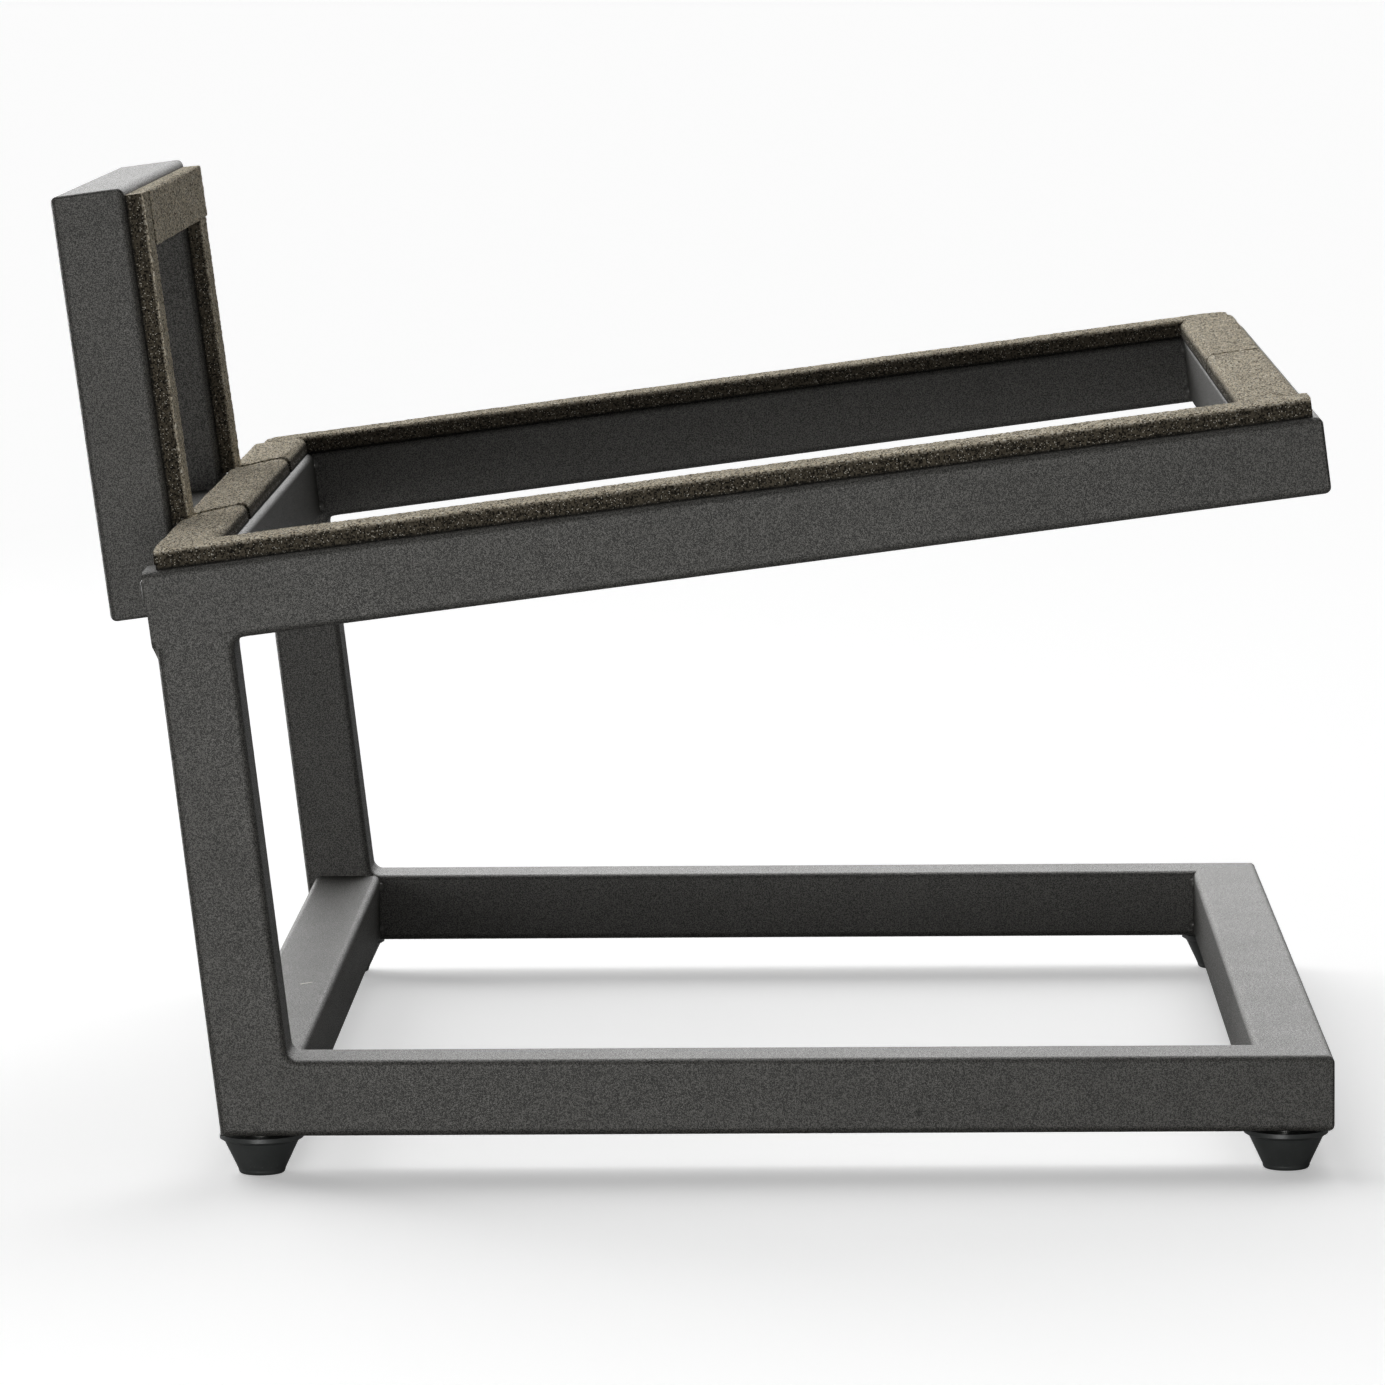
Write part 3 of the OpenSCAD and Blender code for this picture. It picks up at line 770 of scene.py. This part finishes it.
# %% Sweep the tube's edge round a corner
def weld_section(reach, proud):
    """The section as pairs: distance from the arc's centre, depth below the side face."""
    # The second half mirrors the first
    points = [(reach + back_bevel, back_bevel), (reach, -proud)]
    for turn in range(edge_steps + 1):
        angle = math.radians(turn * 90 / edge_steps)
        out = weld_radius + edge_radius - (edge_radius + proud) * math.sin(angle)
        points.append((out, edge_radius - (edge_radius + proud) * math.cos(angle)))
    return points + [(out, tube - deep) for out, deep in reversed(points)]


def weld_stations(first, first_way, second, second_way):
    """Ways out of the centre, shifts along a tube and heights in mm, from tube to tube."""
    whole = math.acos(first.dot(second))
    before = [(first, first_way * (run * mm), proud_mm - proud_mm * run) for run in (2, 1)]
    after = [(second, second_way * (run * mm), proud_mm - proud_mm * run) for run in (1, 2)]
    turned = []
    for turn in range(arc_steps + 1):
        angle = whole * turn / arc_steps
        out = first * math.sin(whole - angle) + second * math.sin(angle)
        turned.append((out / math.sin(whole), Vector(), proud_mm))
    return before + turned + after


def weld_ripple(place, deep):
    """The slight unevenness of weld metal."""
    point = place * ripples_across + Vector((0, deep * ripples_deep, 0))
    return noise.noise(point) * ripple_height


def sweep_weld(metal, centre, first, first_way, second, second_way, face, inward):
    """Adds a weld to a mesh. `first` and `second` point from the centre to the two tubes."""
    rings = []
    for out, shift, proud in weld_stations(first, first_way, second, second_way):
        nearest = max(out.dot(first), out.dot(second))
        reach = max((weld_radius + edge_radius) / nearest, least_back)
        ring = []
        for far, deep in weld_section(reach, proud * mm):
            place = centre + shift + out * far
            if proud == proud_mm:
                place += out * weld_ripple(place, deep)
            place.y = face + inward * deep
            ring.append(metal.verts.new(place))
        rings.append(ring)
    ends = [metal.faces.new(rings[0]), metal.faces.new(list(reversed(rings[-1])))]
    sides = []
    for ring, following in zip(rings, rings[1:]):
        for k, corner in enumerate(ring):
            after = (k + 1) % len(ring)
            sides.append(metal.faces.new((corner, following[k], following[after], ring[after])))
    for side in sides:
        side.smooth = True
    bmesh.ops.recalc_face_normals(metal, faces=ends + sides)


def flowing_welds(side, outward):
    """The weld node of one side frame, with its fillets rounded."""
    node = "upright_welds_" + side
    face = outward * level("upright_" + side, Vector((0, outward, 0)))
    metal = bmesh.new()
    metal.from_mesh(nodes[node].data)
    upright = -out_of_upright
    corners = (
        (lower_corner, upright, up_the_upright, -up, forward),
        (upper_corner, upright, -up_the_upright, -out_of_underside, along_platform),
    )
    for corner in corners:
        sweep_weld(metal, *corner, face, -outward)
    mesh = bpy.data.meshes.new(node + "_rounded")
    metal.to_mesh(mesh)
    metal.free()
    mesh.materials.append(coat)
    welds = bpy.data.objects.new(node + "_rounded", mesh)
    collection.objects.link(welds)
    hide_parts(node)
    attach(welds, "root")
    print(welds.name, len(mesh.polygons), "faces")


flowing_welds("right", -1)
flowing_welds("left", 1)

# %% [markdown]
# ## The studio
# A pale floor runs far behind the stand. Powder coat shows its edges by what they mirror, so the
# light is laid out like this. A large soft sky glows behind the stand, brightest about a third
# of the way up, and is dim overhead and in front: the tops shine at a low angle, and every
# rounded edge that faces up or down stays dark. A softbox low in front is mirrored by the near
# faces. A second one, low behind on the left, draws a thin bright rim on the rear edges. The
# photograph is cut out on white, so the camera sees a floor that is close to white, with soft
# shadows. To the stand the same floor is dark cloth, or it would light the edges from below.

# %% Build the sky
bpy.context.scene.view_settings.view_transform = "Standard"
world = bpy.data.worlds.new("studio")
bpy.context.scene.world = world
world.use_nodes = True
white = (1, 1, 1, 1)
sky_dim, sky_bright = 0.06, 2.9
glow_behind, glow_up, glow_left = 0.8, 0.6, 0.2
glow_begins = 0.63


def soft_sky(dim, bright):
    web = Web(world.node_tree)
    background = world.node_tree.nodes["Background"]
    x, y, z = web.split(web.node("ShaderNodeTexCoord", output="Generated"))
    glow = y * glow_behind + z * glow_up - x * glow_left
    web.set(background.inputs["Color"], white)
    web.set(background.inputs["Strength"], web.step(glow, glow_begins, 1.0, dim, bright))


soft_sky(sky_dim, sky_bright)
print("Sky:", sky_dim, "to", sky_bright)

# %% Lay the floor
floor_reach = 80.0
floor_glow = 0.36
paper_size = 3 * mm
paper_dark, paper_light = (0.92, 0.92, 0.92, 1), (0.94, 0.94, 0.94, 1)
dark_cloth = (0.22, 0.22, 0.22, 1)


def pale_floor():
    finish = Finish("pale_floor")
    paper = finish.blend(finish.grain(paper_size, detail=2.0), paper_dark, paper_light)
    lit = finish.node("ShaderNodeBsdfDiffuse", sockets={"Color": paper})
    glow = finish.node("ShaderNodeEmission", sockets={"Color": white, "Strength": floor_glow})
    seen = finish.node("ShaderNodeAddShader", sockets={0: lit, 1: glow})
    thrown = finish.node("ShaderNodeBsdfDiffuse", sockets={"Color": dark_cloth})
    by_eye = finish.node("ShaderNodeLightPath", output="Is Camera Ray")
    mixed = finish.node("ShaderNodeMixShader", sockets={0: by_eye, 1: thrown, 2: seen})
    finish.set(finish.tree.nodes["Material Output"].inputs["Surface"], mixed)
    return finish.material


floor_corners = [
    (floor_reach * x, floor_reach * y, 0) for x, y in ((-1, -1), (1, -1), (1, 1), (-1, 1))
]
floor_mesh = bpy.data.meshes.new("floor")
floor_mesh.from_pydata(floor_corners, [], [(0, 1, 2, 3)])
floor = bpy.data.objects.new("floor", floor_mesh)
collection.objects.link(floor)
floor_mesh.materials.append(pale_floor())
print("Floor:", 2 * floor_reach, "m across")


# %% Set up the softboxes
def softbox(name, place, target, width, height, power):
    """A flat area light that looks at a point. The camera doesn't see it."""
    light = bpy.data.lights.new(name, "AREA")
    light.shape = "RECTANGLE"
    light.size, light.size_y = width, height
    light.energy = power
    lamp = bpy.data.objects.new(name, light)
    lamp.location = place
    lamp.visible_camera = False
    lamp.rotation_euler = (Vector(target) - Vector(place)).to_track_quat("-Z", "Y").to_euler()
    collection.objects.link(lamp)
    print(name, width, "by", height, "m,", power, "W")


softbox(
    "low softbox", place=(-0.24, -1.35, 0.09), target=(0, -0.18, 0.13),
    width=0.6, height=0.2, power=6.2,
)
softbox(
    "rim softbox", place=(-1.1, 0.8, 0.16), target=(-0.1, -0.1, 0.13),
    width=0.4, height=0.3, power=6.0,
)
